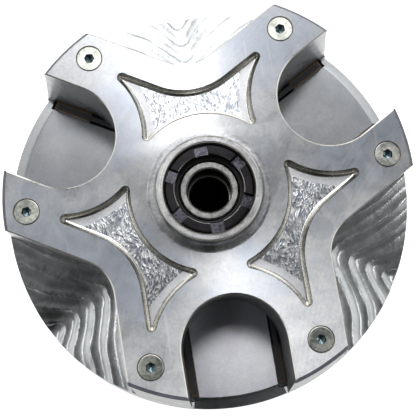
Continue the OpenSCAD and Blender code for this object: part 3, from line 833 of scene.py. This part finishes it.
def fixed_sheave():
    """The fixed cone, with six ribs between its hub and its rim on the engine side."""
    belt, back = range(2)
    back_z = FIXED_RIM_Z - 4.5
    obj = solid("fixed_sheave_detail", revolve(
        [(JOURNAL_R, 0.6, back), (JOURNAL_R + 0.6, 0, back), (32.4, 0, back), (33, 0.6, back), (33, 12, back)]
        + fillet((38, 15), 5, 200, 120, 6, back)
        + [(38, 20, back), (SHEAVE_R - 7, back_z + 2.4, back), (SHEAVE_R - 5, back_z, back),
           (SHEAVE_R - 0.6, back_z, back), (SHEAVE_R, back_z + 0.6, back), (SHEAVE_R, FIXED_RIM_Z - 0.5, belt),
           (SHEAVE_R - 0.5, FIXED_RIM_Z + 0.12, belt), (ROOT_R, FIXED_ROOT_Z, belt), (JOURNAL_R, FIXED_ROOT_Z, back)],
        240), [BELT, RIM])
    section = [(31, 3), (36, 3), (SHEAVE_R - 8, back_z + 1), (SHEAVE_R - 8, back_z + 4), (31, FIXED_ROOT_Z - 9)]
    ribs = []
    for i in range(6):
        shell, rotation = Shell(), Matrix.Rotation(math.radians(60 * i + 30), 2)
        rings = [shell.ring([(*(rotation @ Vector((x, y))), z + (shrink if z < back_z + 2 else 0)) for x, z in section])
                 for y, shrink in ((-3, 0.8), (-2.2, 0), (2.2, 0), (3, 0.8))]
        for a, b in zip(rings, rings[1:]):
            shell.band(a, b, back)
        for end in (rings[0], rings[-1]):
            shell.face(end, back)
        ribs.append(shell)
    carve(obj, ribs, "UNION")
    return finish_piece(obj, "crank_side", ["fixed_sheave"])


def shaft():
    """The bored shaft: journal, spider seat with its thread, and nose."""
    steel, bore, end = range(3)
    profile = [(15, 0, bore), (JOURNAL_R - 0.5, 0, steel), (JOURNAL_R, 0.5, steel), (JOURNAL_R, 87.5, steel),
               (JOURNAL_R - 0.5, 88, steel), (17, 88, steel), (17, 101, steel)]
    for k in range(8):
        profile += [(16.9, 101.2 + k, steel), (16.3, 101.7 + k, steel)]
    profile += [(16.6, 110, steel), (NOSE_R, 110, steel), (NOSE_R, SHAFT_TOP - 0.7, steel),
                (NOSE_R - 0.7, SHAFT_TOP, end), (BOLT_HEAD_R + 0.7, SHAFT_TOP, steel),
                (BOLT_HEAD_R, SHAFT_TOP - 0.7, bore), (BOLT_HEAD_R, COUNTERBORE_Z, steel),
                (BOLT_R + 0.35, COUNTERBORE_Z, steel), (BOLT_R, COUNTERBORE_Z - 0.35, bore), (BOLT_R, 50, bore),
                (12.5, 50, bore)]
    obj = solid("shaft_detail", revolve(profile, 128), [STEEL, BORE, TUBE_FACE])
    return finish_piece(obj, "crank_side", ["shaft"])


def lock_nut():
    """The ring nut in the cover's hub, with six slots for a spanner."""
    face, side, slot_floor, lit_edge = range(4)
    edge = 0.4
    obj = solid("bearing_lock_nut_detail", revolve([
        (NUT_BORE_R, NUT_BOTTOM, side), (BEARING_R, NUT_BOTTOM, side), (BEARING_R, NUT_TOP - 0.9, side),
        (BEARING_R - 0.9, NUT_TOP, face), (NUT_BORE_R + edge, NUT_TOP, lit_edge), (NUT_BORE_R, NUT_TOP - edge, side)], 120),
        [BLUED, BLACK_STEEL, BLUED_CUT, NUT_EDGE_HIGHLIGHT])
    carve(obj, [block(10, -3.2, NUT_TOP - 3, 25, 3.2, NUT_TOP + 5, 60 * i + 33, side, (slot_floor, slot_floor))
                for i in range(6)])
    return finish_piece(obj, "sliding_side", ["bearing_lock_nut"], bevel=0.22)


def shaft_seal():
    """The lip seal between the nut and the shaft's nose."""
    z = NUT_BOTTOM - 4
    obj = solid("shaft_seal_detail", revolve(
        [(NOSE_R + 0.1, z + 0.3), (NOSE_R + 0.5, z), (17, z), (17, NUT_BOTTOM), (16.0, NUT_BOTTOM),
         (15.8, NUT_BOTTOM - 0.8), (15.3, NUT_BOTTOM - 0.8), (15.1, NUT_BOTTOM - 0.1),
         (NOSE_R + 0.6, NUT_BOTTOM - 0.3), (NOSE_R + 0.1, NUT_BOTTOM - 1.6)], 96), [RUBBER])
    return finish_piece(obj, "sliding_side", ["shaft_seal"])


def primary_spring():
    """Round wire wound in a right-hand coil with closed ends."""
    low, high = (v[2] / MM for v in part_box("primary_spring"))
    wire, coil_r, turns, sides, steps = 2.25, 30, 3.6, 14, 260
    shell, rings = Shell(), []
    for i in range(steps + 1):
        t = turns * i / steps
        if t < 0.75:
            rise = 0.02 * t
        elif t > turns - 0.75:
            rise = 1 - 0.02 * (turns - t)
        else:
            rise = 0.015 + 0.97 * (t - 0.75) / (turns - 1.5)
        z = low + wire + (high - low - 2 * wire) * rise
        ring = []
        for j in range(sides):
            b = 2 * math.pi * j / sides
            at = polar(coil_r + wire * math.cos(b), 360 * t)
            ring.append((at[0], at[1], z + wire * math.sin(b)))
        rings.append(shell.ring(ring))
    for a, b in zip(rings, rings[1:]):
        shell.band(a, b)
    for end in (rings[0], rings[-1]):
        shell.face(end)
    obj = solid("primary_spring_wire", shell, [ENAMEL])
    finish_piece(obj, "crank_side", ["primary_spring"], 60)
    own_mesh(obj)
    return obj


def dress_nodes():
    """Materials and rounded edges for the CAD nodes that stay as they are."""
    looks = {"spider": SPIDER, "spider_jam_nut": DARK_STEEL, "torque_pads": POLYMER, "spring_seat": STEEL,
             "sheave_bushing": BRONZE, "pin_clips": BLACK_STEEL, "cover_bearing_shell": DARK_STEEL,
             "cover_bearing_liner": BRONZE}
    for i in THIRDS:
        looks.update({f"roller_pin_{i}": STEEL, f"roller_{i}": STEEL, f"roller_bush_{i}": BRONZE,
                      f"flyweight_{i}": YELLOW, f"flyweight_bush_{i}": BRONZE, f"flyweight_pin_{i}": STEEL})
    for name, material in looks.items():
        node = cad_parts[name]
        if not node.material_slots:
            node.data.materials.append(material)
        for held in node.material_slots:
            held.material = material
        weld = node.modifiers.new("weld", "WELD")
        weld.merge_threshold = 0.00001
        add_bevel(node, 0.25)


# ---- Stage, lights and camera, in metres ----

def stage():
    """A pale floor that glows round the part, so that the picture's ground is white."""
    half = 3.0
    mesh = bpy.data.meshes.new("floor")
    mesh.from_pydata([(-half, -half, 0), (half, -half, 0), (half, half, 0), (-half, half, 0)], [], [(0, 1, 2, 3)])
    n = Nodes("pale_floor")
    tint = n.mix(n.ramp(n.noise(3, 3), 0.3, 0.7), rgb(0.93, 0.93, 0.93), rgb(0.96, 0.96, 0.96))
    n.set(n.shader.inputs["Emission Color"], rgb(1, 1, 1))
    glow = n.math("MULTIPLY", n.ramp(n.radius(), 0.04, 0.10, 0.0, 0.8), n.ramp(n.radius(), 0.19, 0.30, 1.0, 0.0))
    n.set(n.shader.inputs["Emission Strength"], glow)
    n.done(tint, 0.8, n.bump(n.noise(300, 2), 0.2, 0.05), 0.0)
    mesh.materials.append(n.material)
    add_object("floor", mesh)


def softbox(name, degrees, off_zenith, width, height, radiance):
    """A rectangular light over the cover, placed by its direction in the picture and its angle off the zenith."""
    light = bpy.data.lights.new(name, "AREA")
    light.shape = "RECTANGLE"
    light.size, light.size_y = width, height
    light.energy = radiance * math.pi * width * height
    obj = add_object(name, light)
    distance, lean = 1.3, math.radians(off_zenith)
    side = polar(distance * math.sin(lean), degrees)
    target = Vector((0, 0, PLATE_TOP * MM))
    obj.location = target + on_view(side[0], side[1], distance * math.cos(lean))
    obj.rotation_euler = (target - obj.location).to_track_quat("-Z", "Y").to_euler()


def sky():
    """A soft studio: bright above and behind the part, dark where the photographer stands."""
    world = bpy.data.worlds.new("studio")
    world.use_nodes = True
    bpy.context.scene.world = world
    n = Tree(world.node_tree)
    direction = n.add("ShaderNodeTexCoord").outputs["Generated"]
    across = n.vector("DOT_PRODUCT", direction, on_view(1, 0, 0))
    up = n.vector("DOT_PRODUCT", direction, on_view(0, 1, 0))
    aside = n.math("ABSOLUTE", across)
    level = n.math("ADD", n.ramp(up, -0.45, 0.05, 0.13, 0.33), n.ramp(up, 0.38, 0.70, 0.0, 1.6))
    level = n.math("ADD", level, n.ramp(aside, 0.76, 0.94, 0.0, 0.7))
    clear = n.math("MAXIMUM", n.ramp(aside, 0.14, 0.38), n.ramp(up, 0.14, 0.26))
    background = n.tree.nodes["Background"]
    n.set(background.inputs["Color"], rgb(0.97, 0.985, 1.0))
    n.set(background.inputs["Strength"], n.math("MULTIPLY", level, n.ramp(clear, 0.0, 1.0, 0.10, 1.0)))


def camera():
    """Straight over the cover, tipped eight degrees, close enough to show perspective."""
    data = bpy.data.cameras.new("camera")
    data.sensor_width = 36
    data.lens = 82.6
    data.clip_start = 0.01
    obj = add_object("camera", data)
    distance, side, down = 0.450, 0.0006, 0.0081
    tip, lean = math.radians(8.19), math.radians(-0.30)
    obj.matrix_world = (Matrix.Rotation(YAW, 4, "Z") @ Matrix.Translation((0, 0, PLATE_TOP * MM))
                        @ Matrix.Rotation(lean, 4, "Y") @ Matrix.Rotation(tip, 4, "X")
                        @ Matrix.Translation((-side, -down, distance)))
    bpy.context.scene.camera = obj


camera()
stage()
sky()
softbox("key", 99.5, 36, 0.19, 1.05, 4.4)
softbox("key_core", 99.5, 15.2, 0.18, 0.22, 5.4)
softbox("left_strip", 182, 44, 0.6, 0.10, 4.0)
softbox("right_strip", -4, 44, 0.6, 0.10, 4.0)
bpy.context.scene.view_settings.view_transform = "Standard"

cover_plate()
cover_screws()
movable_sheave()
fixed_sheave()
shaft()
lock_nut()
shaft_seal()
primary_spring()
dress_nodes()
